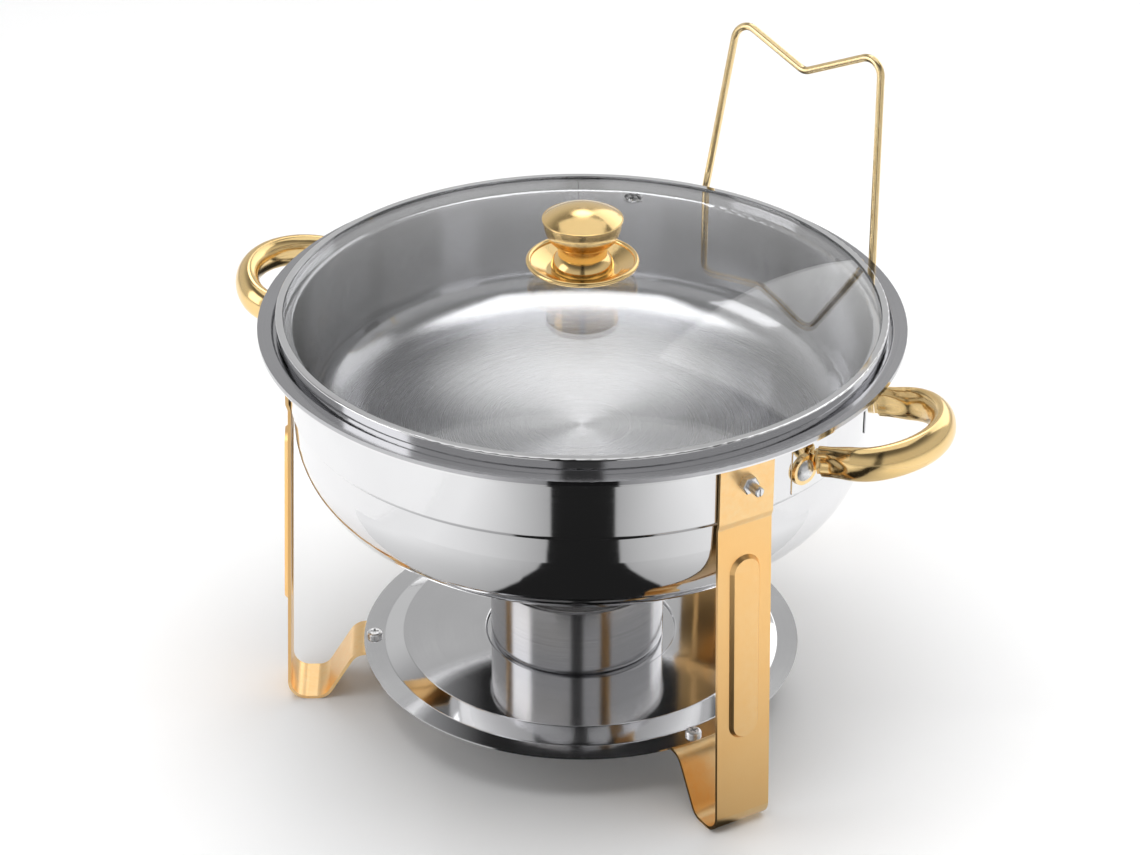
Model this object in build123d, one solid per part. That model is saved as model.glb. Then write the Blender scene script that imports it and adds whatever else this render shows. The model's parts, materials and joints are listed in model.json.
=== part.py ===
"""Round chafing dish: water pan on three strap legs, food pan, glass lid, burner and lid holder.

Everything is drawn with the pans' axis on Z and the feet at Z = 0. Azimuth 0 faces -Y and
grows towards +X. The legs stand at 60, 180 and -60 degrees, the handles at 90 and -90.
The finished set is moved so that its origin is the bottom centre of its bounding box.
"""
from build123d import *
import math
import os

# ---- driving dimensions, millimetres -------------------------------------------------------
SHEET = 0.8                     # steel sheet of both pans, the tray, the cup and the lid ring
LEG_SHEET = 1.6                 # gold strap of the legs

PAN_TOP = 213.5                 # top of the food pan's flange above the table
PAN_R = 159.0                   # outer radius of that flange
RIM_TOP = 211.4                 # top of the water pan's rim, which the flange rests on
RIM_R = 158.6
BAND_R = 144.6                  # outside of the water pan's cylindrical band
BAND_BOTTOM = 174.5
BOWL_R = 143.2                  # outside of the bowl just under the band
BOWL_BOTTOM = 114.5
BOWL_CORNER_R = 46.0
FLOOR_TOP = 152.0               # inside floor of the food pan
WALL_TOP_R = 141.0              # inside of the food pan's wall at the top and at the floor
WALL_FOOT_R = 135.5
FLOOR_CORNER_R = 19.8           # inside corner between the food pan's wall and floor
HEM = 1.5                       # width of the turned edge of both rims

LEDGE = PAN_TOP - 2.0           # ledge inside the flange that the lid's skirt stands on
LEDGE_R = 151.4
LID_R = 150.0                   # outside of the lid's steel ring
LID_TOP = 220.0
CROWN = 238.0                   # top of the glass dome
GLASS = 4.0
GLASS_R = 149.0
DOME_R = 146.0                  # where the dome meets its flat edge
VENT_AT = 109.0
VENT_AZIMUTH = 194.6

KNOB_FOOT = CROWN + 2.0         # where the knob's body stands on its dished plate
KNOB_LIP = KNOB_FOOT + 26.4     # height of the widest part of the knob
KNOB_R = 19.8
BELL_R, WAIST_R = 15.3, 12.1
SAUCER_R, SAUCER_RISE, SAUCER_BEAD_R = 26.4, 4.6, 1.3
KNOB_SCREW_R = 2.0
UNDER_GLASS = CROWN - GLASS - 0.08      # the dome is this low where the seal lies against it
KNOB_SEAL, WASHER = 1.0, 0.8

LEG_AZIMUTHS = {"front_right": 60, "back": 180, "front_left": -60}
LEG_WIDTH = 30.0
LEG_TOP = 209.0
LEG_FACE = BAND_R + LEG_SHEET   # outside of the strap against the band
LEG_STEP = (145.2, 170.6)       # distance and height where the strap steps in under the band
LEG_FOOT = 151.6                # the strap splays out to this distance at the table
RIB_LENGTH, RIB_WIDTH, RIB_HEIGHT = 101.0, 16.8, 2.0
RIB_MIDDLE = 103.5
LEG_BOLT_Z = 193.0
LEG_BOLT_D = 5.0

TRAY_R = 111.9
TRAY_TOP = 28.8                 # top of the tray's outer flange
PLATEAU = 33.6                  # top of its raised middle
SEAT = 32.4                     # floor of the shallow seat that the burner stands in
TRAY_SCREW_AT = 106.5
TRAY_SCREW_D = 4.0

CUP_R = 44.2
CUP_TOP = 69.5
CUP_AXIS = (-0.8, -2.7)         # the cup stands a little off the middle of its seat
COVER_PANEL = 66.5

HANDLE_SIDES = {"right": 90, "left": -90}
HANDLE_Z = 189.0                # height of the handle's plane where it leaves the band
HANDLE_FROM = 143.0             # distance of that line from the axis
HANDLE_TILT = 10.5              # the loop rises outwards by this many degrees
HANDLE_HALF = 33.0              # half the distance between the two arms
HANDLE_REACH = 47.5
HANDLE_W, HANDLE_H = 12.2, 17.0
CORNER_R = 22.0
LUG_T, LUG_H = 3.0, 12.0
RIVET_AT = 40.0                 # rivets this far each side of the handle's middle
RIVET_Z = 187.0
RIVET_SHANK_R = 2.25
RIVET_HEAD_R, RIVET_HEAD_RISE = 5.4, 3.0
RIVET_SWING = math.degrees(math.asin(RIVET_AT / BAND_R))
PAD = 0.6                       # thin steel pad under each bracket
TAB = 1.5                       # thickness of the bracket's tab

HOLDER_AZIMUTH = 164.3
HOLDER_LEAN = 12.5              # degrees that the frame leans outwards
HOLDER_SKEW = -4.5              # degrees that it stands askew in its own plane
HOLDER_AT, HOLDER_Z = 151.8, 212.0      # distance from the axis of the frame at this height
HOLDER_HALF, HOLDER_TAPER = 57.3, 0.1   # half width at that height, lost per mm up the frame
HOLDER_HEIGHT, HOLDER_VALLEY = 98.75, 79.75     # of its corners and of its dip, along the lean
WIRE_D = 4.0
PEG_Z = 197.0                   # the wire's two ends pass through the band here
PEG_END = 130.4
PEG_HOLE_R = 2.3

nodes = {}


# ---- helpers -------------------------------------------------------------------------------
def at_azimuth(shape, azimuth):
    """Turn a shape drawn facing -Y to the given azimuth."""
    return Rot(0, 0, azimuth) * shape


def strip_face(points, radii, thickness):
    """A strip of sheet: the path (radius, height), with its thickness on the path's right."""
    path = FilletPolyline(*points, radius=radii)
    return make_face(offset(path, amount=thickness, side=Side.RIGHT))


def spun(face):
    """Revolve a face drawn as (radius, height) about Z."""
    return revolve(Plane.XZ * face, Axis.Z)


def spun_polygon(points):
    return spun(make_face(Polyline(*points, close=True)))


def spun_hem(radius, low, high):
    """The turned edge of a rim, a small square ring."""
    return spun_polygon([(radius - HEM, low), (radius, low), (radius, high), (radius - HEM, high)])


def disc(radius, low, high):
    return Pos(0, 0, low) * Cylinder(radius, high - low, align=(Align.CENTER, Align.CENTER, Align.MIN))


def outward_rod(radius, near, far, height):
    """A rod along -Y, from one distance to another."""
    rod = Cylinder(radius, far - near, align=(Align.CENTER, Align.CENTER, Align.MIN))
    return Pos(0, -near, height) * Rot(90, 0, 0) * rod


def wall_hole(radius, height):
    """What is cut out of the band, straps and plates for a bolt or rivet that faces -Y."""
    return outward_rod(radius, BAND_R - 5, BAND_R + 5, height)


def outward_nut(across_flats, near, far, height):
    face = RegularPolygon(across_flats / 2, 6, major_radius=False)
    nut = extrude(face, far - near)
    nut = chamfer(nut.edges().filter_by(GeomType.LINE).group_by(Axis.Z)[-1], 0.4)
    return Pos(0, -near, height) * Rot(90, 0, 0) * nut


def dome_head(radius, rise, base):
    """A low dome standing on the plane Z = base."""
    ball = (radius ** 2 + rise ** 2) / (2 * rise)
    return (Pos(0, 0, base + rise - ball) * Sphere(ball)) & disc(radius, base, base + rise)


def group(shapes):
    return Compound(children=list(shapes))


# ---- pans ----------------------------------------------------------------------------------
def make_water_pan():
    under_ledge = LEDGE - SHEET - 0.1
    # the outside of the pan, from the rim down to the middle of the bowl
    path = [
        (RIM_R, RIM_TOP - SHEET), (LEDGE_R + 2.4, RIM_TOP - SHEET),
        (LEDGE_R + 1.8, under_ledge - SHEET), (BAND_R, under_ledge - SHEET),
        (BAND_R, BAND_BOTTOM + 0.4), (BOWL_R, BAND_BOTTOM - 1.6),
        (BOWL_R - 2.0, BOWL_BOTTOM + 1.6), (40, BOWL_BOTTOM), (0, BOWL_BOTTOM),
    ]
    pan = spun(strip_face(path, [0.4, 1.1, 0.6, 1.2, 0.6, BOWL_CORNER_R, 300.0], SHEET))
    pan += spun_hem(RIM_R, RIM_TOP - 1.2, RIM_TOP)
    for azimuth in LEG_AZIMUTHS.values():
        pan -= at_azimuth(wall_hole(LEG_BOLT_D / 2, LEG_BOLT_Z), azimuth)
    for azimuth in rivet_azimuths():
        pan -= at_azimuth(wall_hole(RIVET_SHANK_R, RIVET_Z), azimuth)
    for side in (-1, 1):
        hole = Pos(peg_corner(side).X, 0, 0) * outward_rod(PEG_HOLE_R, 120, BAND_R + 5, PEG_Z)
        pan -= at_azimuth(hole, HOLDER_AZIMUTH)
    return pan


def make_food_pan():
    # the inside of the pan, from the middle of its floor out to the flange
    path = [
        (0, FLOOR_TOP), (WALL_FOOT_R, FLOOR_TOP), (WALL_TOP_R, LEDGE), (LEDGE_R, LEDGE),
        (LEDGE_R + 0.6, PAN_TOP), (PAN_R, PAN_TOP),
    ]
    pan = spun(strip_face(path, [FLOOR_CORNER_R, 2.0, 0.4, 1.0], SHEET))
    return pan + spun_hem(PAN_R, RIM_TOP, PAN_TOP)


# ---- lid -----------------------------------------------------------------------------------
def dome_drop(radius):
    """How far the dome's top has fallen below its crown at a radius."""
    rise = CROWN - (LID_TOP - SHEET)
    ball = (DOME_R ** 2 + rise ** 2) / (2 * rise)
    return ball - math.sqrt(ball ** 2 - radius ** 2)


def vent_plane():
    """The plane on the outside of the glass where the steam vent stands."""
    step = 0.5
    slope = math.atan((dome_drop(VENT_AT + step) - dome_drop(VENT_AT - step)) / (2 * step))
    normal = (0, -math.sin(slope), math.cos(slope))
    return Plane(origin=(0, -VENT_AT, CROWN - dome_drop(VENT_AT)), x_dir=(1, 0, 0), z_dir=normal)


def make_glass_dome():
    edge_top = LID_TOP - SHEET
    half = DOME_R / 2
    outline = [
        ThreePointArc((0, CROWN), (half, CROWN - dome_drop(half)), (DOME_R, edge_top)),
        Line((DOME_R, edge_top), (GLASS_R, edge_top)),
        Line((GLASS_R, edge_top), (GLASS_R, edge_top - GLASS)),
        Line((GLASS_R, edge_top - GLASS), (DOME_R, edge_top - GLASS)),
        ThreePointArc((DOME_R, edge_top - GLASS), (half, CROWN - GLASS - dome_drop(half)),
                      (0, CROWN - GLASS)),
        Line((0, CROWN - GLASS), (0, CROWN)),
    ]
    dome = spun(make_face(outline))
    dome -= disc(3.5, CROWN - 10, CROWN + 5)
    hole = vent_plane() * Pos(0, 0, -8) * Cylinder(3.2, 20)
    return dome - at_azimuth(hole, VENT_AZIMUTH)


def make_lid_ring():
    inner, lip = LID_R - SHEET, 146.5
    top, low = LID_TOP, LID_TOP - 2 * SHEET - GLASS
    ring = spun_polygon([
        (lip, LEDGE), (lip + SHEET, LEDGE), (lip + SHEET, low), (LID_R, low), (LID_R, top),
        (lip, top), (lip, top - SHEET), (inner, top - SHEET), (inner, low + SHEET),
        (lip, low + SHEET),
    ])
    outer = ring.edges().filter_by(GeomType.CIRCLE).filter_by(lambda e: abs(e.radius - LID_R) < 0.01)
    return fillet(outer, 0.7)


def make_steam_vent():
    sleeve = Pos(0, 0, -GLASS / 2) * Cylinder(3.0, GLASS + 1.6)
    top = fillet(Cylinder(4.75, 0.8, align=(Align.CENTER, Align.CENTER, Align.MIN)).edges()
                 .group_by(Axis.Z)[-1], 0.35)
    low = Pos(0, 0, -GLASS - 0.85) * Cylinder(4.5, 0.8, align=(Align.CENTER, Align.CENTER, Align.MIN))
    vent = sleeve + top + low - Cylinder(1.6, 20)
    return at_azimuth(vent_plane() * vent, VENT_AZIMUTH)


def make_knob_base():
    """A dished plate with a rolled bead round its edge."""
    low = KNOB_FOOT
    edge = low + SAUCER_RISE
    dish = spun(strip_face([(2.2, low), (17.5, low), (SAUCER_R, edge)], 5.0, SHEET))
    return dish + spun(Pos(SAUCER_R, edge) * Circle(SAUCER_BEAD_R))


def make_knob_body():
    """Bell foot, waist, then a bowl that widens in three turned steps."""
    foot, waist, bowl = KNOB_FOOT, KNOB_FOOT + 8.4, KNOB_FOOT + 13.8
    outline = [
        Line((0, foot), (BELL_R, foot)),
        ThreePointArc((BELL_R, foot), (BELL_R - 0.2, foot + 4.2), (WAIST_R, waist)),
        Line((WAIST_R, waist), (WAIST_R + 0.2, bowl)),
        Line((WAIST_R + 0.2, bowl), (13.4, bowl + 0.2)),
        ThreePointArc((13.4, bowl + 0.2), (15.0, bowl + 1.5), (16.1, bowl + 3.2)),
        Line((16.1, bowl + 3.2), (16.7, bowl + 3.4)),
        Line((16.7, bowl + 3.4), (17.3, bowl + 5.4)),
        Line((17.3, bowl + 5.4), (17.9, bowl + 5.6)),
        ThreePointArc((17.9, bowl + 5.6), (18.8, bowl + 8.8), (19.1, KNOB_LIP)),
        Line((19.1, KNOB_LIP), (0, KNOB_LIP)),
        Line((0, KNOB_LIP), (0, foot)),
    ]
    return spun(make_face(outline)) - disc(KNOB_SCREW_R + 0.1, foot - 1, foot + 14)


def make_knob_cap():
    """The flat lip round the knob's widest part, with the domed top on it."""
    lip = fillet(disc(KNOB_R, KNOB_LIP, KNOB_LIP + 1.1).edges(), 0.35)
    return lip + dome_head(KNOB_R - 0.5, 6.0, KNOB_LIP + 1.0)


def make_knob_screw():
    """A cross-headed screw from under the glass, up into the knob's body."""
    head_top = UNDER_GLASS - KNOB_SEAL - WASHER
    head_low = head_top - 2.8
    head = fillet(disc(4.6, head_low, head_top).edges().group_by(Axis.Z)[0], 1.2)
    for turn in (0, 90):
        head -= Pos(0, 0, head_low) * Rot(0, 0, turn) * Box(4.4, 1.0, 2.4)
    return head + disc(KNOB_SCREW_R, head_top, KNOB_FOOT + 13)


def make_knob():
    seal_low = UNDER_GLASS - KNOB_SEAL
    washer_low = seal_low - WASHER
    nodes["knob_gasket"] = disc(11, CROWN, KNOB_FOOT - SHEET) - disc(3.5, CROWN - 1, KNOB_FOOT)
    nodes["knob_base"] = make_knob_base()
    nodes["knob_body"] = make_knob_body()
    nodes["knob_cap"] = make_knob_cap()
    nodes["knob_seal"] = disc(8, seal_low, UNDER_GLASS) - disc(2.3, seal_low - 1, CROWN)
    nodes["knob_washer"] = disc(7, washer_low, seal_low) - disc(2.15, washer_low - 1, CROWN)
    nodes["knob_screw"] = make_knob_screw()


# ---- legs ----------------------------------------------------------------------------------
def make_leg():
    path = [
        (LEG_FACE, LEG_TOP), (LEG_FACE, BAND_BOTTOM - 0.6), LEG_STEP,
        (LEG_FOOT, 0), (131.5, 0), (115.5, 26.4), (98.5, 26.4),
    ]
    face = strip_face(path, [3.0, 3.0, 10.0, 9.0, 8.0], LEG_SHEET)
    side = Plane(origin=(0, 0, 0), x_dir=(0, -1, 0), z_dir=(-1, 0, 0))
    leg = extrude(side * face, LEG_WIDTH / 2, both=True)
    splay = math.atan2(LEG_FOOT - LEG_STEP[0], LEG_STEP[1])
    out = LEG_FOOT - RIB_MIDDLE * math.tan(splay)
    rib_plane = Plane(origin=(0, -out, RIB_MIDDLE), x_dir=(0, math.sin(splay), math.cos(splay)),
                      z_dir=(0, -math.cos(splay), math.sin(splay)))
    rib = extrude(SlotOverall(RIB_LENGTH, RIB_WIDTH), RIB_HEIGHT, taper=38)
    hollow = extrude(SlotOverall(RIB_LENGTH - 3.0, RIB_WIDTH - 3.0), RIB_HEIGHT, taper=38)
    leg += rib_plane * rib
    leg -= rib_plane * Pos(0, 0, -LEG_SHEET) * hollow
    leg -= wall_hole(LEG_BOLT_D / 2, LEG_BOLT_Z)
    return leg - Pos(0, -TRAY_SCREW_AT, 26) * Cylinder(TRAY_SCREW_D / 2, 12)


def make_leg_bolt():
    inner = BAND_R - SHEET - 0.08
    tip = LEG_FACE + 10.5
    bolt = outward_rod(LEG_BOLT_D / 2, inner - 1, tip, LEG_BOLT_Z)
    bolt = chamfer(bolt.edges().group_by(Axis.Y)[0], 0.5)
    bolt += outward_rod(4.4, inner - 1.9, inner, LEG_BOLT_Z)
    return bolt - Pos(0, -tip, LEG_BOLT_Z) * Box(0.9, 2.4, 8)


def make_leg_nut():
    nut = outward_nut(8.0, LEG_FACE, LEG_FACE + 3.6, LEG_BOLT_Z)
    return nut - outward_rod(LEG_BOLT_D / 2, LEG_FACE - 1, LEG_FACE + 5, LEG_BOLT_Z)


# ---- burner tray, cup and cover ------------------------------------------------------------
def make_tray():
    path = [(0, SEAT), (48.2, SEAT), (49.0, PLATEAU), (91.6, PLATEAU), (101.1, TRAY_TOP),
            (TRAY_R, TRAY_TOP)]
    tray = spun(strip_face(path, [0.3, 1.0, 1.6, 1.6], SHEET))
    for azimuth in LEG_AZIMUTHS.values():
        hole = Pos(0, -TRAY_SCREW_AT, TRAY_TOP) * Cylinder(TRAY_SCREW_D / 2, 8)
        tray -= at_azimuth(hole, azimuth)
    return tray


def make_tray_screw():
    head = fillet(disc(4.0, TRAY_TOP, TRAY_TOP + 2.5).edges().group_by(Axis.Z)[-1], 1.4)
    for turn in (0, 90):
        head -= Pos(0, 0, TRAY_TOP + 2.4) * Rot(0, 0, turn) * Box(4.6, 1.0, 2.0)
    screw = head + disc(TRAY_SCREW_D / 2, 21.6, TRAY_TOP)
    return Pos(0, -TRAY_SCREW_AT, 0) * screw


def make_tray_nut():
    top = TRAY_TOP - SHEET - LEG_SHEET
    nut = extrude(RegularPolygon(3.5, 6, major_radius=False), 3.2)
    nut = chamfer(nut.edges().filter_by(GeomType.LINE).group_by(Axis.Z)[0], 0.35)
    nut = Pos(0, 0, top - 3.2) * nut - Pos(0, 0, top) * Cylinder(TRAY_SCREW_D / 2, 20)
    return Pos(0, -TRAY_SCREW_AT, 0) * nut


def make_burner():
    place = Pos(*CUP_AXIS, 0)
    cup = strip_face([(CUP_R, CUP_TOP), (CUP_R, SEAT), (0, SEAT)], 3.0, SHEET)
    nodes["burner_cup"] = place * spun(cup)
    edge = CUP_TOP + SHEET
    path = [(2.0, COVER_PANEL), (41.8, COVER_PANEL), (42.2, edge), (45.0, edge)]
    nodes["burner_cover"] = place * spun(strip_face(path, [0.9, 1.1], SHEET))
    knob = fillet(disc(7.0, COVER_PANEL + 4.0, COVER_PANEL + 10.0).edges(), 1.8)
    knob += disc(3.4, COVER_PANEL, COVER_PANEL + 4.4)
    knob += disc(2.0, COVER_PANEL - SHEET, COVER_PANEL) + disc(3.4, COVER_PANEL - 2.2, COVER_PANEL - SHEET)
    nodes["cover_knob"] = place * knob


# ---- handles -------------------------------------------------------------------------------
def rivet_azimuths():
    return [side + sign * RIVET_SWING for side in HANDLE_SIDES.values() for sign in (-1, 1)]


def handle_plane():
    tilt = math.radians(HANDLE_TILT)
    return Plane(origin=(0, -HANDLE_FROM, HANDLE_Z), x_dir=(1, 0, 0),
                 z_dir=(0, -math.sin(tilt), -math.cos(tilt)))


def make_handle():
    """One oval tube loop, drawn in the handle's own plane with its arms along +Y."""
    start, pinch = 2.5, 15.0
    bend = 20.0
    centre = HANDLE_HALF - CORNER_R
    # the wide front arc is tangent to both corner arcs and reaches HANDLE_REACH
    gap = HANDLE_REACH - CORNER_R - bend
    wide = (gap ** 2 + 2 * gap * CORNER_R + centre ** 2) / (2 * gap)
    middle = HANDLE_REACH - wide
    aim = math.atan2(bend - middle, centre)
    meet = (centre + CORNER_R * math.cos(aim), bend + CORNER_R * math.sin(aim))
    half = (centre + CORNER_R * math.cos(aim / 2), bend + CORNER_R * math.sin(aim / 2))
    path = Wire([
        Line((HANDLE_HALF, pinch), (HANDLE_HALF, bend)).edge(),
        ThreePointArc((HANDLE_HALF, bend), half, meet).edge(),
        ThreePointArc(meet, (0, HANDLE_REACH), (-meet[0], meet[1])).edge(),
        ThreePointArc((-meet[0], meet[1]), (-half[0], half[1]), (-HANDLE_HALF, bend)).edge(),
        Line((-HANDLE_HALF, bend), (-HANDLE_HALF, pinch)).edge(),
    ])

    def across(x, y):
        return Plane(origin=(x, y, 0), x_dir=(1, 0, 0), z_dir=(0, 1, 0))

    section = across(HANDLE_HALF, pinch) * (
        Ellipse(HANDLE_W / 2, HANDLE_H / 2) - Ellipse(HANDLE_W / 2 - 1, HANDLE_H / 2 - 1))
    loop = sweep(section, path)
    for x in (-HANDLE_HALF, HANDLE_HALF):
        end = loft([
            across(x, start) * Ellipse(HANDLE_W / 2 - 2.4, HANDLE_H / 2 - 0.4),
            across(x, pinch) * Ellipse(HANDLE_W / 2, HANDLE_H / 2),
        ])
        slot = Pos(x, start + 4, 0) * Box(LUG_T, 12, LUG_H)
        loop += end - slot
    return handle_plane() * loop


def band_patch(near, far, from_x, to_x, low, high, corner):
    """A curved patch of plate, concentric with the band, cut to a rounded rectangle."""
    width, height = to_x - from_x, high - low
    outline = RectangleRounded(width, height, corner)
    block = extrude(Plane.XZ * outline, 200)
    block = Pos((from_x + to_x) / 2, 0, (low + high) / 2) * block
    shell = disc(far, low - 1, high + 1) - disc(near, low - 2, high + 2)
    return shell & block


def make_brackets():
    """The two brackets of one handle: a riveted tab and a lug that enters the tube."""
    brackets = []
    for sign in (-1, 1):
        ends = sorted((sign * (HANDLE_HALF - 1.5), sign * (RIVET_AT + 7.5)))
        tab = band_patch(BAND_R + PAD, BAND_R + PAD + TAB, *ends, RIVET_Z - 7.5, RIVET_Z + 7.5, 7.4)
        lug = Pos(sign * HANDLE_HALF, 5.35, 0) * Box(LUG_T, 10.3, LUG_H)
        bracket = tab + handle_plane() * lug
        brackets.append(bracket - at_azimuth(wall_hole(RIVET_SHANK_R, RIVET_Z), sign * RIVET_SWING))
    return group(brackets)


def make_pads():
    pads = []
    for sign in (-1, 1):
        ends = sorted((sign * 22.5, sign * 47.0))
        pad = band_patch(BAND_R, BAND_R + PAD, *ends, BAND_BOTTOM + 1.2, LEG_TOP, 0.8)
        pads.append(pad - at_azimuth(wall_hole(RIVET_SHANK_R, RIVET_Z), sign * RIVET_SWING))
    return pads


def make_rivet():
    face = BAND_R + PAD + TAB
    inner = BAND_R - SHEET - 0.08
    head = Pos(0, -face, RIVET_Z) * Rot(90, 0, 0) * dome_head(RIVET_HEAD_R, RIVET_HEAD_RISE, 0)
    shank = outward_rod(RIVET_SHANK_R, inner - 0.5, face, RIVET_Z)
    return head + shank + outward_rod(4.0, inner - 1.5, inner, RIVET_Z)


# ---- lid holder ----------------------------------------------------------------------------
def holder_point(across, along):
    """A point of the leaning wire frame, from the middle of the frame at HOLDER_Z."""
    lean, skew = math.radians(HOLDER_LEAN), math.radians(HOLDER_SKEW)
    sideways = across * math.cos(skew) - along * math.sin(skew)
    upwards = across * math.sin(skew) + along * math.cos(skew)
    return Vector(sideways, -HOLDER_AT - upwards * math.sin(lean), HOLDER_Z + upwards * math.cos(lean))


def holder_half(along):
    """The two uprights draw together as they rise."""
    return HOLDER_HALF - HOLDER_TAPER * along


def peg_corner(side):
    """Where an upright, drawn on downwards, comes to the height of its peg."""
    skew = math.radians(HOLDER_SKEW)
    upwards = (PEG_Z - HOLDER_Z) / math.cos(math.radians(HOLDER_LEAN))
    along = (upwards - side * HOLDER_HALF * math.sin(skew)) / (
        math.cos(skew) - side * HOLDER_TAPER * math.sin(skew))
    return holder_point(side * holder_half(along), along)


def bent_wire(points, radii, diameter):
    """Sweep a round wire along straight runs joined by tangent arcs."""
    edges, last = [], points[0]
    for before, corner, after, radius in zip(points, points[1:], points[2:], radii):
        back, ahead = (before - corner).normalized(), (after - corner).normalized()
        turn = math.radians(back.get_angle(ahead))
        reach = radius / math.tan(turn / 2)
        start, end = corner + back * reach, corner + ahead * reach
        inwards = (back + ahead).normalized()
        middle = corner + inwards * (radius / math.sin(turn / 2) - radius)
        edges += [Edge.make_line(last, start), Edge.make_three_point_arc(start, middle, end)]
        last = end
    edges.append(Edge.make_line(last, points[-1]))
    path = Wire(edges)
    return sweep(Plane(origin=path @ 0, z_dir=path % 0) * Circle(diameter / 2), path)


def make_lid_holder():
    first, last = peg_corner(1), peg_corner(-1)
    top = holder_half(HOLDER_HEIGHT)
    points = [
        Vector(first.X, -PEG_END, PEG_Z), first,
        holder_point(top, HOLDER_HEIGHT), holder_point(0, HOLDER_VALLEY), holder_point(-top, HOLDER_HEIGHT),
        last, Vector(last.X, -PEG_END, PEG_Z),
    ]
    return at_azimuth(bent_wire(points, [6, 9, 8, 9, 6], WIRE_D), HOLDER_AZIMUTH)


# ---- assembly ------------------------------------------------------------------------------
nodes["water_pan"] = make_water_pan()
nodes["food_pan"] = make_food_pan()
nodes["glass_dome"] = make_glass_dome()
nodes["lid_ring"] = make_lid_ring()
nodes["steam_vent"] = make_steam_vent()
make_knob()
for name, azimuth in LEG_AZIMUTHS.items():
    nodes["leg_" + name] = at_azimuth(make_leg(), azimuth)
nodes["leg_bolts"] = group(at_azimuth(make_leg_bolt(), a) for a in LEG_AZIMUTHS.values())
nodes["leg_nuts"] = group(at_azimuth(make_leg_nut(), a) for a in LEG_AZIMUTHS.values())
nodes["burner_tray"] = make_tray()
nodes["tray_screws"] = group(at_azimuth(make_tray_screw(), a) for a in LEG_AZIMUTHS.values())
nodes["tray_nuts"] = group(at_azimuth(make_tray_nut(), a) for a in LEG_AZIMUTHS.values())
make_burner()
for name, azimuth in HANDLE_SIDES.items():
    nodes[name + "_handle"] = at_azimuth(make_handle(), azimuth)
    nodes[name + "_handle_brackets"] = at_azimuth(make_brackets(), azimuth)
nodes["handle_pads"] = group(at_azimuth(p, a) for a in HANDLE_SIDES.values() for p in make_pads())
nodes["handle_rivets"] = group(at_azimuth(make_rivet(), a) for a in rivet_azimuths())
nodes["lid_holder"] = make_lid_holder()

whole = Compound(children=[Compound(children=list(shape.solids())) for shape in nodes.values()])
box = whole.bounding_box()
shift = (-(box.min.X + box.max.X) / 2, -(box.min.Y + box.max.Y) / 2, -box.min.Z)
print("bounding box", box.min, box.max, "moved by", shift)

os.makedirs("parts", exist_ok=True)
for name, shape in nodes.items():
    solids = [Pos(*shift) * solid for solid in shape.solids()]
    placed = solids[0] if len(solids) == 1 else Compound(children=solids)
    export_step(placed, "parts/" + name + ".step")
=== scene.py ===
import json
import math

import bmesh
import bpy
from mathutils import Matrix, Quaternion, Vector


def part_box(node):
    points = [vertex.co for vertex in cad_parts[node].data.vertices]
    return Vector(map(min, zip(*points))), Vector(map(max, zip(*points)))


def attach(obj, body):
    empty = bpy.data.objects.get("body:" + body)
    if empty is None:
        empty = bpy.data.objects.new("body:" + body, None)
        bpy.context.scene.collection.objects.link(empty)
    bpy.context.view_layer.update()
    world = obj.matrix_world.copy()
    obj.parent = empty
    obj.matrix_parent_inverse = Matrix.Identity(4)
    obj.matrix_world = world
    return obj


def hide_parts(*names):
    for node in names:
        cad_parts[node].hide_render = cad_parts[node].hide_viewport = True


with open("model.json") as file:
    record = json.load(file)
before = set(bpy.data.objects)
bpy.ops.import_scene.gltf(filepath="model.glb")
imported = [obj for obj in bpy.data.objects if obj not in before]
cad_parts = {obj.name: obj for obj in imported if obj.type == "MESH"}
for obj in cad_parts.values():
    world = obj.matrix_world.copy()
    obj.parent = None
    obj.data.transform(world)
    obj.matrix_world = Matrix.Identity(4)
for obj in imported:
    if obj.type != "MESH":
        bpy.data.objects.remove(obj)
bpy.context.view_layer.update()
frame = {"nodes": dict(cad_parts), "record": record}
nodes = frame["nodes"]


# ---- places taken from the frame -----------------------------------------------------------
def middle(node):
    low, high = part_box(node)
    return (low + high) / 2


PAN_AXIS = Vector((middle("glass_dome").x, middle("glass_dome").y, 0))
CUP_AXIS = Vector((middle("burner_cup").x, middle("burner_cup").y, 0))
PAN_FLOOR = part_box("food_pan")[0].z
BAND_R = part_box("leg_front_right")[1].x - PAN_AXIS.x
# the handles' loops, as the CAD model has them
HANDLE_FROM, HANDLE_Z = 0.143, 0.189    # where a loop's own plane starts
HANDLE_TILT = math.radians(10.5)        # a loop rises outwards
HANDLE_HALF, HANDLE_REACH, HANDLE_CORNER = 0.033, 0.0475, 0.022
HANDLE_MOUTH, HANDLE_BEND = 0.0025, 0.020   # how far out a side starts, and stops being straight
HANDLE_W, HANDLE_H, HANDLE_WALL = 0.0122, 0.017, 0.0009
MOUTH_DEPTH = 0.0060                    # how far in the tube's open ends can be seen
NIP_FULL, NIP_GONE = 0.004, 0.018       # the ends are nipped up to the first, not at all past the second
VENT_SLOPE = math.radians(10.9)         # of the glass where the vent stands
VENT_MIDDLE = 0.00202                   # from the middle of the CAD vent up to the glass's upper face
VIEW_AZIMUTH = math.radians(28.6)       # the camera stands this far round from the front
LOBE_HEIGHT = math.radians(46)          # of the soft light behind the object
CARD_HEIGHT = 0.0005                    # of the cards that only reflections show, above the floor
GRAIN_DEPTH = 0.0002                    # of every fine grain, as bump


def smooth(value, start, end):
    """0 before start, 1 after end, and an even S between them."""
    t = min(max((value - start) / (end - start), 0.0), 1.0)
    return t * t * (3 - 2 * t)


def towards(azimuth, distance, height=0.0):
    """A point round the pans' axis; azimuth 0 is the front and grows towards +X."""
    return PAN_AXIS + Vector((math.sin(azimuth), -math.cos(azimuth), 0)) * distance + Vector((0, 0, height))


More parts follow.
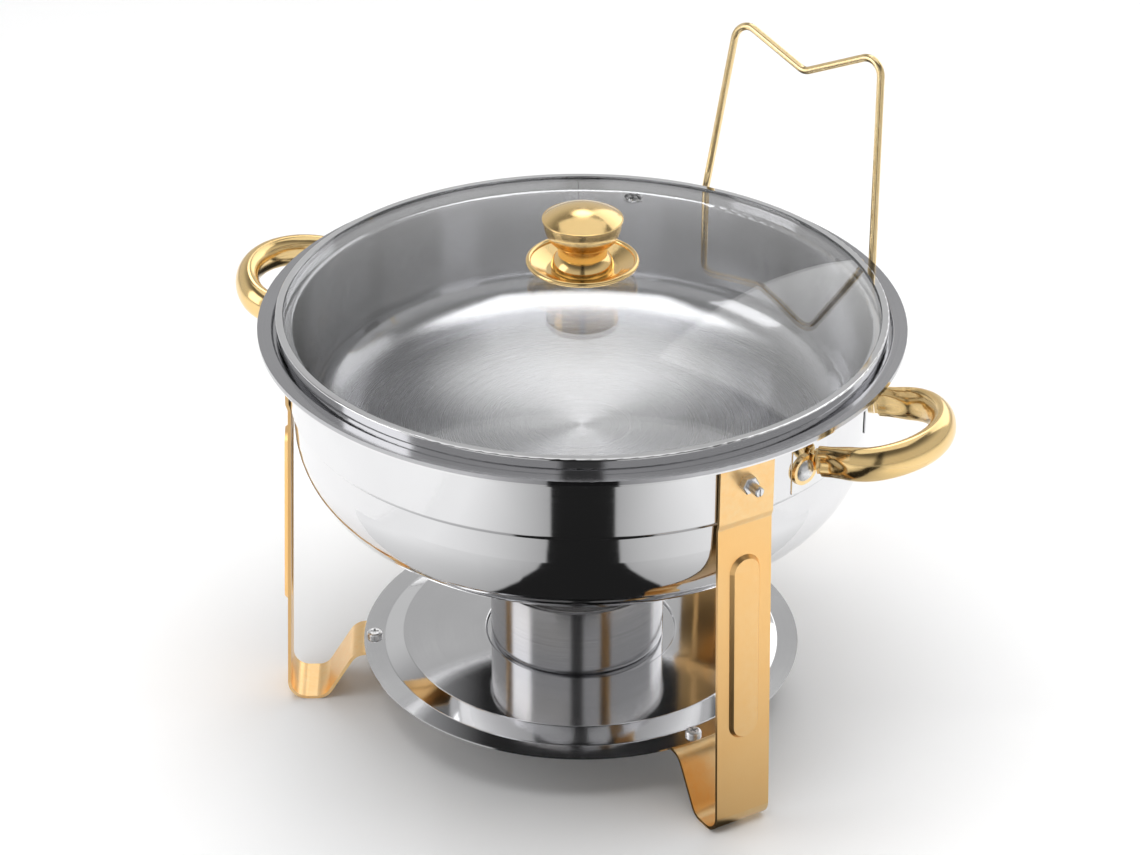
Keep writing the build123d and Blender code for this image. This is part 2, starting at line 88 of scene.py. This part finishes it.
# ---- node helpers --------------------------------------------------------------------------
class Shader:
    """A material under construction, with short names for the nodes it needs."""

    def __init__(self, name):
        self.material = bpy.data.materials.new(name)
        self.material.use_nodes = True
        self.nodes = self.material.node_tree.nodes
        self.links = self.material.node_tree.links
        self.bsdf = self.nodes["Principled BSDF"]
        self.place = self.nodes.new("ShaderNodeTexCoord").outputs["Object"]

    def link(self, source, target):
        self.links.new(source, target)

    def fill(self, socket, value):
        if isinstance(value, bpy.types.NodeSocket):
            self.link(value, socket)
        else:
            socket.default_value = value

    def math(self, operation, a, b=0.0):
        node = self.nodes.new("ShaderNodeMath")
        node.operation = operation
        self.fill(node.inputs[0], a)
        self.fill(node.inputs[1], b)
        return node.outputs[0]

    def noise(self, vector, scale, detail=3.0, w=None):
        node = self.nodes.new("ShaderNodeTexNoise")
        if w is not None:
            node.noise_dimensions = "4D"
            self.fill(node.inputs["W"], w)
        self.fill(node.inputs["Vector"], vector)
        node.inputs["Scale"].default_value = scale
        node.inputs["Detail"].default_value = detail
        return node.outputs["Fac"]

    def spread(self, factor, low, high, start=0.3, end=0.7):
        """Low at start, high at end; the usual two are the ends of most of a noise's values."""
        node = self.nodes.new("ShaderNodeMapRange")
        self.fill(node.inputs["Value"], factor)
        node.inputs["From Min"].default_value = start
        node.inputs["From Max"].default_value = end
        self.fill(node.inputs["To Min"], low)
        self.fill(node.inputs["To Max"], high)
        return node.outputs["Result"]

    def mix(self, factor, first, second):
        node = self.nodes.new("ShaderNodeMix")
        node.data_type = "RGBA"
        self.fill(node.inputs["Factor"], factor)
        for socket, colour in ((node.inputs[6], first), (node.inputs[7], second)):
            self.fill(socket, colour if isinstance(colour, bpy.types.NodeSocket) else (*colour, 1))
        return node.outputs[2]

    def combine(self, x, y, z):
        node = self.nodes.new("ShaderNodeCombineXYZ")
        for socket, value in zip(node.inputs, (x, y, z)):
            self.fill(socket, value)
        return node.outputs[0]

    def stretched(self, factors):
        """The shaded point with each coordinate multiplied, for grain longer one way."""
        node = self.nodes.new("ShaderNodeVectorMath")
        node.operation = "MULTIPLY"
        self.link(self.place, node.inputs[0])
        node.inputs[1].default_value = factors
        return node.outputs[0]

    def parts(self):
        """The shaded point's X, Y and Z."""
        node = self.nodes.new("ShaderNodeSeparateXYZ")
        self.link(self.place, node.inputs[0])
        return node.outputs[:3]

    def rings(self, axis):
        """Distance from an upright axis, height, and the two offsets from the axis."""
        x, y, z = self.parts()
        dx = self.math("SUBTRACT", x, axis.x)
        dy = self.math("SUBTRACT", y, axis.y)
        squares = self.math("ADD", self.math("POWER", dx, 2.0), self.math("POWER", dy, 2.0))
        return self.math("SQRT", squares), z, dx, dy

    def ring_noise(self, axis, fineness, along=6.0, detail=2.0):
        """Fine lines that run round an axis and fade in and out along their way."""
        radius, height, dx, dy = self.rings(axis)
        lines = self.combine(self.math("MULTIPLY", radius, fineness),
                             self.math("MULTIPLY", height, fineness),
                             self.math("MULTIPLY", dx, along))
        return self.noise(lines, 1.0, detail, self.math("MULTIPLY", dy, along))

    def bump(self, height, strength, distance):
        node = self.nodes.new("ShaderNodeBump")
        node.inputs["Strength"].default_value = strength
        node.inputs["Distance"].default_value = distance
        self.link(height, node.inputs["Height"])
        self.link(node.outputs["Normal"], self.bsdf.inputs["Normal"])

    def round_grain(self):
        """Turns the shader's grain to run round an upright axis."""
        tangent = self.nodes.new("ShaderNodeTangent")
        tangent.direction_type = "RADIAL"
        tangent.axis = "Z"
        self.link(tangent.outputs[0], self.bsdf.inputs["Tangent"])
        self.bsdf.inputs["Anisotropic Rotation"].default_value = 0.25

    def edge_wear_and_highlight(self, amount):
        """1 along sharp outer edges, broken up by noise, and 0 on flat faces: wear on steel and gold, a
        painted highlight on the vent.
        """
        geometry = self.nodes.new("ShaderNodeNewGeometry")
        edge = self.spread(geometry.outputs["Pointiness"], 0.0, amount, 0.52, 0.60)
        return self.math("MULTIPLY", edge, self.spread(self.noise(self.place, 260.0), 0.3, 1.0))

    def done(self, roughness, metallic=1.0):
        self.fill(self.bsdf.inputs["Roughness"], roughness)
        self.bsdf.inputs["Metallic"].default_value = metallic
        return self.material

    def glow(self, strength):
        """Finishes the material as light of its own, in place of a surface."""
        light = self.nodes.new("ShaderNodeEmission")
        self.link(strength, light.inputs["Strength"])
        self.link(light.outputs[0], self.nodes["Material Output"].inputs["Surface"])
        return self.material


# ---- materials -----------------------------------------------------------------------------
def polished_steel():
    """Mirror sheet: faint polishing lines, cloudy patches and a trace of press waviness."""
    s = Shader("polished_steel")
    cloud = s.noise(s.place, 14.0, 4.0)
    lines = s.ring_noise(PAN_AXIS, 2600.0)
    colour = s.mix(s.spread(cloud, 0.0, 1.0), (0.76, 0.76, 0.77), (0.82, 0.82, 0.83))
    s.link(s.mix(s.edge_wear_and_highlight(0.5), colour, (0.90, 0.90, 0.90)), s.bsdf.inputs["Base Color"])
    fine = s.spread(lines, 0.0, 0.035)
    roughness = s.math("ADD", s.spread(cloud, 0.035, 0.07), fine)
    s.bump(s.math("ADD", s.noise(s.place, 9.0, 1.0), s.math("MULTIPLY", lines, 0.01)), 0.06, 0.004)
    return s.done(roughness)


def pan_steel():
    """The food pan: polished wall, and a floor brushed in circles."""
    s = Shader("pan_steel")
    radius, height, _, _ = s.rings(PAN_AXIS)
    floor = s.spread(height, 1.0, 0.0, PAN_FLOOR + 0.002, PAN_FLOOR + 0.010)
    lines = s.ring_noise(PAN_AXIS, 3600.0, 5.0, 3.0)
    cloud = s.noise(s.place, 18.0, 4.0)
    shade = s.math("ADD", s.math("MULTIPLY", lines, 0.5), s.math("MULTIPLY", cloud, 0.5))
    s.link(s.mix(s.spread(shade, 0.0, 1.0), (0.46, 0.46, 0.475), (0.51, 0.51, 0.525)),
           s.bsdf.inputs["Base Color"])
    satin = s.math("ADD", 0.25, s.spread(lines, 0.0, 0.03))
    polished = s.math("ADD", 0.08, s.spread(lines, 0.0, 0.04))
    roughness = s.math("ADD", s.math("MULTIPLY", floor, satin),
                       s.math("MULTIPLY", s.math("SUBTRACT", 1.0, floor), polished))
    s.bump(s.math("MULTIPLY", lines, s.math("ADD", 0.15, floor)), 0.002, GRAIN_DEPTH)
    s.bsdf.inputs["Anisotropic"].default_value = 0.92
    s.round_grain()
    return s.done(roughness)


def brushed_steel():
    """The burner: lathe-brushed round its own axis, with a little heat stain towards the top."""
    s = Shader("brushed_steel")
    lines = s.ring_noise(CUP_AXIS, 3600.0, 8.0, 3.0)
    _, height, _, _ = s.rings(CUP_AXIS)
    steel = s.mix(s.spread(lines, 0.0, 1.0), (0.45, 0.45, 0.465), (0.52, 0.52, 0.535))
    low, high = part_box("burner_cup")
    heat = s.math("MULTIPLY", s.spread(height, 0.0, 0.35, low.z, high.z + 0.004),
                  s.spread(s.noise(s.place, 30.0), 0.0, 1.0))
    s.link(s.mix(heat, steel, (0.66, 0.60, 0.52)), s.bsdf.inputs["Base Color"])
    s.bump(lines, 0.015, GRAIN_DEPTH)
    s.bsdf.inputs["Anisotropic"].default_value = 0.6
    s.round_grain()
    return s.done(s.math("ADD", 0.15, s.spread(lines, 0.0, 0.08)))


def fastener_steel():
    """Screws, bolts, nuts, rivets and the burner cover's knob: plain steel with a fine tooth."""
    s = Shader("fastener_steel")
    grain = s.noise(s.place, 900.0, 3.0)
    s.link(s.mix(s.spread(grain, 0.0, 1.0), (0.74, 0.74, 0.75), (0.88, 0.88, 0.88)),
           s.bsdf.inputs["Base Color"])
    s.bump(grain, 0.3, GRAIN_DEPTH)
    return s.done(s.spread(s.noise(s.place, 140.0), 0.24, 0.38))


def vent_steel():
    """The crimped eyelet: near black as painted shade, with a painted highlight where its petals stand up.
    """
    s = Shader("vent_steel")
    # painted shade: the eyelet's steel is made near black, mottled by this noise, so that it reads dark
    painted_shade_mottle = s.spread(s.noise(s.place, 600.0, 3.0), 0.0, 1.0)
    dark = s.mix(painted_shade_mottle, (0.05, 0.05, 0.055), (0.16, 0.16, 0.165))
    # painted highlight: the petals' sharp edges are made bright
    s.link(s.mix(s.edge_wear_and_highlight(1.0), dark, (0.85, 0.85, 0.86)), s.bsdf.inputs["Base Color"])
    s.bump(s.noise(s.place, 1400.0), 0.25, GRAIN_DEPTH)
    return s.done(s.math("ADD", 0.20, s.math("MULTIPLY", painted_shade_mottle, 0.15)))


def polished_gold():
    """Vapour-deposited gold over mirror steel, a little paler where it is thin at the edges."""
    s = Shader("polished_gold")
    cloud = s.noise(s.place, 30.0, 4.0)
    gold = s.mix(s.spread(cloud, 0.0, 1.0), (0.90, 0.63, 0.28), (0.94, 0.69, 0.33))
    s.link(s.mix(s.edge_wear_and_highlight(0.4), gold, (0.97, 0.76, 0.48)), s.bsdf.inputs["Base Color"])
    s.bump(s.noise(s.place, 60.0, 1.0), 0.05, 0.001)
    return s.done(s.spread(s.noise(s.place, 420.0, 2.0), 0.13, 0.20))


def satin_gold():
    """The legs: the same gold over fine-blasted strap, with a lengthwise grain."""
    s = Shader("satin_gold")
    grain = s.noise(s.stretched((3200.0, 3200.0, 260.0)), 1.0, 3.0)
    cloud = s.noise(s.place, 22.0, 4.0)
    gold = s.mix(s.spread(cloud, 0.0, 1.0), (1.0, 0.60, 0.235), (1.0, 0.65, 0.285))
    gold = s.mix(s.spread(grain, 0.0, 0.08), gold, (0.86, 0.50, 0.18))
    s.link(s.mix(s.edge_wear_and_highlight(0.5), gold, (1.0, 0.78, 0.46)), s.bsdf.inputs["Base Color"])
    s.bump(grain, 0.012, GRAIN_DEPTH)
    return s.done(s.math("ADD", s.spread(cloud, 0.27, 0.33), s.spread(grain, 0.0, 0.05)))


def wire_gold():
    """The lid holder: bright gold with the wire's drawing lines along it."""
    s = Shader("wire_gold")
    grain = s.noise(s.stretched((900.0, 900.0, 40.0)), 1.0, 3.0)
    s.link(s.mix(s.spread(grain, 0.0, 1.0), (0.88, 0.66, 0.33), (0.98, 0.78, 0.46)),
           s.bsdf.inputs["Base Color"])
    s.bump(grain, 0.15, GRAIN_DEPTH)
    return s.done(s.spread(grain, 0.10, 0.20))


def lid_glass():
    """Clear glass with a trace of haze; light from lamps passes straight through it."""
    s = Shader("lid_glass")
    s.bsdf.inputs["Base Color"].default_value = (0.985, 0.99, 0.99, 1)
    s.bsdf.inputs["Transmission Weight"].default_value = 1.0
    s.bsdf.inputs["IOR"].default_value = 1.5
    s.done(s.spread(s.noise(s.place, 20.0, 4.0), 0.0, 0.02), 0.0)
    path = s.nodes.new("ShaderNodeLightPath")
    clear = s.nodes.new("ShaderNodeBsdfTransparent")
    clear.inputs["Color"].default_value = (0.95, 0.955, 0.955, 1)
    mixer = s.nodes.new("ShaderNodeMixShader")
    lamps = s.math("MAXIMUM", path.outputs["Is Shadow Ray"], path.outputs["Is Diffuse Ray"])
    s.link(lamps, mixer.inputs[0])
    s.link(s.bsdf.outputs[0], mixer.inputs[1])
    s.link(clear.outputs[0], mixer.inputs[2])
    s.link(mixer.outputs[0], s.nodes["Material Output"].inputs["Surface"])
    return s.material


def silicone():
    """The gasket and seal under the lid's knob: pale, matt and even."""
    s = Shader("silicone")
    s.link(s.mix(s.spread(s.noise(s.place, 120.0), 0.0, 1.0), (0.74, 0.74, 0.71), (0.84, 0.84, 0.82)),
           s.bsdf.inputs["Base Color"])
    s.bump(s.noise(s.place, 700.0), 0.2, GRAIN_DEPTH)
    return s.done(s.spread(s.noise(s.place, 300.0), 0.45, 0.6), 0.0)


def dress_cad_nodes():
    """Gives every CAD node the material of its slot, and returns the materials by slot."""
    made = {m.__name__: m() for m in (polished_steel, pan_steel, brushed_steel, fastener_steel,
                                      polished_gold, satin_gold, wire_gold, lid_glass, silicone)}
    for part in frame["record"]["subparts"]:
        mesh = nodes[part["node"]].data
        mesh.materials.clear()
        mesh.materials.append(made[part["material_slot"]])
    return made


# ---- replaced pieces -----------------------------------------------------------------------
def quad_rings(rings, closed_ends):
    """A mesh from rings of points, each joined to the next; the end rings may be filled."""
    work = bmesh.new()
    loops = [[work.verts.new(point) for point in ring] for ring in rings]
    count = len(loops[0])
    for lower, upper in zip(loops, loops[1:]):
        for i in range(count):
            j = (i + 1) % count
            work.faces.new((lower[i], lower[j], upper[j], upper[i]))
    if closed_ends:
        work.faces.new(loops[0][::-1])
        work.faces.new(loops[-1])
    bmesh.ops.recalc_face_normals(work, faces=work.faces)
    for face in work.faces:
        face.smooth = True
    mesh = bpy.data.meshes.new("rings")
    work.to_mesh(mesh)
    work.free()
    return mesh


def new_piece(name, mesh, node, body, slot):
    """Puts a mesh in a CAD node's stead."""
    mesh.name = name
    mesh.materials.append(materials[slot])
    piece = bpy.data.objects.new(name, mesh)
    bpy.context.scene.collection.objects.link(piece)
    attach(piece, body)
    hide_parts(node)
    return piece


def loop_line():
    """Points and headings along a handle's loop, in its own plane, from one pinched end to the other."""
    half, corner, start, bend, reach = HANDLE_HALF, HANDLE_CORNER, HANDLE_MOUTH, HANDLE_BEND, HANDLE_REACH
    straight_steps, corner_steps, far_steps = 36, 24, 32
    centre = half - corner
    gap = reach - corner - bend
    # the far side is one wide arc that meets both corners' arcs without a kink
    wide = (gap ** 2 + 2 * gap * corner + centre ** 2) / (2 * gap)
    aim = math.atan2(bend - (reach - wide), centre)
    side = []
    for i in range(straight_steps):
        side.append((half, start + (bend - start) * i / straight_steps, math.pi / 2))
    for i in range(corner_steps):
        a = aim * i / corner_steps
        side.append((centre + corner * math.cos(a), bend + corner * math.sin(a), math.pi / 2 + a))
    for i in range(far_steps + 1):
        a = aim + (math.pi / 2 - aim) * i / far_steps
        side.append((wide * math.cos(a), reach - wide + wide * math.sin(a), math.pi / 2 + a))
    return side + [(-x, y, 2 * math.pi - turn) for x, y, turn in side[-2::-1]]


def pinched_ring(along, inset):
    """One section of the tube: an oval that is nipped in the middle close to the tube's ends."""
    nip = 1.0 - smooth(along, NIP_FULL, NIP_GONE)
    narrower, lower = 0.0012 * nip, 0.0007 * nip
    wide = HANDLE_W / 2 - narrower - inset
    high = HANDLE_H / 2 - lower - inset
    waist_share, waist_height = 0.50 * nip, 0.0042 * (0.35 + 0.65 * nip)
    fold_share, fold_at, fold_height = 0.16 * nip, 0.0062, 0.0009
    count = 56
    ring = []
    for i in range(count):
        a = 2 * math.pi * i / count
        across, up = wide * math.cos(a), high * math.sin(a)
        # a waist half way up, and a narrow fold above and below it
        fold = waist_share * math.exp(-(up / waist_height) ** 2)
        fold += fold_share * math.exp(-((abs(up) - fold_at) / fold_height) ** 2)
        ring.append((across * (1 - fold), up))
    return ring


def make_handle(name, side):
    """A drawn tube whose two ends are pinched flat over the brackets' lugs."""
    out = Vector((side, 0, 0))
    along_band = Vector((0, 1, 0))
    reach_out = out * math.cos(HANDLE_TILT) + Vector((0, 0, math.sin(HANDLE_TILT)))
    normal = Vector((0, 0, math.cos(HANDLE_TILT))) - out * math.sin(HANDLE_TILT)
    origin = PAN_AXIS + out * HANDLE_FROM + Vector((0, 0, HANDLE_Z))
    line = loop_line()
    ends = [(x, y) for x, y, _ in (line[0], line[-1])]

    def placed(x, y, turn, ring):
        """A section's points, square to the loop where it is at x, y with this heading."""
        middle_point = origin + along_band * x + reach_out * y
        sideways = along_band * math.sin(turn) - reach_out * math.cos(turn)
        return [middle_point + sideways * a + normal * b for a, b in ring]

    def inner(end, depths):
        x, y, turn = end
        return [placed(x, y + depth, turn, pinched_ring(depth, HANDLE_WALL)) for depth in depths]

    rings = inner(line[0], (MOUTH_DEPTH, 0.0))
    for x, y, turn in line:
        near = min(math.dist((x, y), end) for end in ends)
        rings.append(placed(x, y, turn, pinched_ring(near, 0.0)))
    rings += inner(line[-1], (0.0, MOUTH_DEPTH))
    return new_piece(name + "_tube", quad_rings(rings, True), name, "stand", "polished_gold")


def make_vent():
    """A crimped eyelet: a sleeve through the glass, split and turned out into petals on top."""
    centre = middle("steam_vent")
    outwards = Vector((centre.x, centre.y, 0)) - PAN_AXIS
    up = (outwards.normalized() * math.sin(VENT_SLOPE) + Vector((0, 0, math.cos(VENT_SLOPE)))).normalized()
    right = up.cross(outwards).normalized()
    ahead = right.cross(up).normalized()
    origin = centre + up * VENT_MIDDLE
    # radius and height above the glass in millimetres: up the bore, over the petals, down the
    # sleeve and round its foot
    profile = [(1.6, -4.8), (1.6, 0.2), (1.9, 0.75), (2.5, 1.15), (3.4, 1.25), (4.2, 0.85), (4.75, 0.1),
               (4.75, 0.0), (3.05, 0.0), (3.05, -4.05), (4.5, -4.05), (4.5, -4.8), (1.6, -4.8)]
    split_points, split_radius = range(3, 7), 2.4
    count = 96
    rings = []
    for index, (radius, height) in enumerate(profile):
        ring = []
        for i in range(count):
            a = 2 * math.pi * i / count
            petal = abs(math.cos(3 * a))    # 1 in the middle of each of six petals, 0 between two
            r, h = radius, height
            if index in split_points:
                r = radius - (1.0 - petal) ** 2 * (radius - split_radius) * 0.75
                h = height * (0.35 + 0.65 * petal)
            point = origin + (right * math.cos(a) + ahead * math.sin(a)) * (r / 1000)
            ring.append(point + up * (h / 1000))
        rings.append(ring)
    piece = new_piece("steam_vent_eyelet", quad_rings(rings, False), "steam_vent", "lid", "fastener_steel")
    piece.data.materials[0] = vent_steel()
    return piece


# ---- studio --------------------------------------------------------------------------------
def flat_sheet(name, x_range, y_range, material):
    """One level face of the studio."""
    corners = [(x_range[0], y_range[0], 0), (x_range[1], y_range[0], 0),
               (x_range[1], y_range[1], 0), (x_range[0], y_range[1], 0)]
    mesh = bpy.data.meshes.new(name)
    work = bmesh.new()
    work.faces.new([work.verts.new(c) for c in corners])
    work.to_mesh(mesh)
    work.free()
    mesh.materials.append(material)
    sheet = bpy.data.objects.new(name, mesh)
    bpy.context.scene.collection.objects.link(sheet)
    return sheet


def reflected_card(name, x_range, y_range, material, aside=0.0):
    """A card on the floor that only reflections show, turned so that the camera is at its -Y."""
    card = flat_sheet(name, x_range, y_range, material)
    card.location = PAN_AXIS + Vector((math.cos(VIEW_AZIMUTH), math.sin(VIEW_AZIMUTH), 0)) * aside
    card.location.z = CARD_HEIGHT
    card.rotation_euler = (0, 0, VIEW_AZIMUTH)
    card.visible_camera = False
    card.visible_diffuse = False
    card.visible_shadow = False


def floor_material():
    """White and matt, with a trace of unevenness."""
    s = Shader("studio_floor")
    s.link(s.mix(s.spread(s.noise(s.place, 3.0), 0.0, 1.0), (0.93, 0.93, 0.93), (0.95, 0.95, 0.95)),
           s.bsdf.inputs["Base Color"])
    return s.done(s.spread(s.noise(s.place, 40.0), 0.75, 0.85), 0.0)


def gap_material(half, spread):
    """The gap between the front lights: near black, with a crisp edge to grey, then on to white.

    It is at least half wide on each side, and widens beyond the water pan's band by spread for every
    metre."""
    s = Shader("studio_gap")
    x, y, _ = s.parts()
    black, half_at_band = 0.015, 0.015
    beyond = s.math("SUBTRACT", s.math("MULTIPLY", y, -1.0), BAND_R)
    width = s.math("MAXIMUM", half, s.math("ADD", s.math("MULTIPLY", beyond, spread), half_at_band))
    across = s.math("DIVIDE", s.math("ABSOLUTE", x), width)
    grey = s.spread(across, 0.42, 1.0, 1.0, 3.8)
    lit = s.spread(across, 0.0, 1.0, 0.97, 1.03)
    return s.glow(s.math("ADD", black, s.math("MULTIPLY", lit, grey)))


def make_gap():
    """The card between the object and the camera, dark along its middle."""
    half, spread, reach, near, far = 0.0745, math.tan(math.radians(12)), 0.34, 0.03, 2.0
    reflected_card("studio_gap_card", (-reach, reach), (-far, -near), gap_material(half, spread), 0.003)


def patch_material():
    """Dark along the middle, fading to light at both sides."""
    s = Shader("studio_patch")
    x, _, _ = s.parts()
    return s.glow(s.spread(s.math("ABSOLUTE", x), 0.02, 0.9, 0.06, 0.15))


def make_patch():
    """The card behind the object, also dark along its middle."""
    reflected_card("studio_patch_card", (-0.15, 0.15), (0.10, 0.60), patch_material())


def soft_light(name, azimuth, distance, height, size, radiance):
    """A rectangular lamp, aimed at the middle of the object."""
    lamp = bpy.data.lights.new(name, "AREA")
    lamp.shape = "RECTANGLE"
    lamp.size, lamp.size_y = size
    lamp.energy = radiance * math.pi * size[0] * size[1]
    light = bpy.data.objects.new(name, lamp)
    bpy.context.scene.collection.objects.link(light)
    light.location = towards(azimuth, distance, height)
    aim = PAN_AXIS + Vector((0, 0, 0.12)) - light.location
    light.rotation_euler = aim.to_track_quat("-Z", "Y").to_euler()
    return light


def make_sky():
    """Grey walls and a darker ceiling, with a dark gap on the camera's side and a soft lobe behind."""
    world = bpy.data.worlds.new("studio")
    world.use_nodes = True
    tree = world.node_tree
    direction = tree.nodes.new("ShaderNodeTexCoord").outputs["Generated"]

    def along(axis):
        node = tree.nodes.new("ShaderNodeVectorMath")
        node.operation = "DOT_PRODUCT"
        tree.links.new(direction, node.inputs[0])
        node.inputs[1].default_value = axis
        return node.outputs["Value"]

    def ramp(value, start, end, low, high):
        node = tree.nodes.new("ShaderNodeMapRange")
        node.interpolation_type = "SMOOTHSTEP"
        for name, number in (("From Min", start), ("From Max", end), ("To Min", low), ("To Max", high)):
            node.inputs[name].default_value = number
        tree.links.new(value, node.inputs["Value"])
        return node.outputs["Result"]

    def join(operation, a, b):
        node = tree.nodes.new("ShaderNodeMath")
        node.operation = operation
        for socket, value in zip(node.inputs, (a, b)):
            if isinstance(value, float):
                socket.default_value = value
            else:
                tree.links.new(value, socket)
        return node.outputs[0]

    front = towards(VIEW_AZIMUTH, 1.0) - PAN_AXIS
    across = join("ABSOLUTE", along((-front.y, front.x, 0)), 0.0)
    ratio = join("DIVIDE", across, join("MAXIMUM", along(front), 0.001))
    gap = ramp(ratio, math.tan(math.radians(6)), math.tan(math.radians(10)), 0.14, 1.0)
    height = ramp(along((0, 0, 1)), 0.36, 0.85, 0.62, 0.13)
    lobe_at = towards(VIEW_AZIMUTH + math.pi, math.cos(LOBE_HEIGHT), math.sin(LOBE_HEIGHT)) - PAN_AXIS
    lobe = ramp(along(lobe_at), 0.976, 0.998, 0.0, 2.7)
    background = tree.nodes["Background"]
    tree.links.new(join("ADD", join("MULTIPLY", height, gap), lobe), background.inputs["Strength"])
    background.inputs["Color"].default_value = (1, 1, 1, 1)
    return world


def make_studio():
    reach = 6.0
    flat_sheet("studio_floor_sheet", (-reach, reach), (-reach, reach), floor_material())
    bpy.context.scene.world = make_sky()
    overhead = soft_light("overhead", VIEW_AZIMUTH, distance=0.10, height=2.2, size=(2.2, 2.0),
                          radiance=2.65)
    overhead.visible_glossy = False     # it lights the floor; the metal reflects the top card
    soft_light("top_card", VIEW_AZIMUTH + math.pi, distance=0.30, height=1.9, size=(1.9, 1.5),
               radiance=0.8)
    soft_light("left_bank", VIEW_AZIMUTH - math.radians(80), distance=1.7, height=0.8,
               size=(0.9, 1.3), radiance=1.4)
    soft_light("right_bank", VIEW_AZIMUTH + math.radians(142), distance=1.8, height=1.16,
               size=(1.58, 1.5), radiance=1.0)
    make_gap()
    make_patch()


def make_camera():
    """Stands where the rim, lid, tray and legs line up with the photograph's."""
    eye, target = Vector((0.70178, -1.29691, 0.99204)), Vector((-0.00510, -0.00294, 0.15114))
    roll = Quaternion((0, 0, 1), math.radians(0.14))
    lens = bpy.data.cameras.new("camera")
    lens.sensor_width = 36.0
    lens.lens = 107.34
    lens.clip_start, lens.clip_end = 0.05, 50.0
    camera = bpy.data.objects.new("camera", lens)
    bpy.context.scene.collection.objects.link(camera)
    camera.location = PAN_AXIS + eye
    camera.rotation_mode = "QUATERNION"
    camera.rotation_quaternion = (PAN_AXIS + target - camera.location).to_track_quat("-Z", "Y") @ roll
    bpy.context.scene.camera = camera


bpy.context.scene.view_settings.view_transform = "Standard"
materials = dress_cad_nodes()
make_handle("right_handle", 1)
make_handle("left_handle", -1)
make_vent()
make_studio()
make_camera()
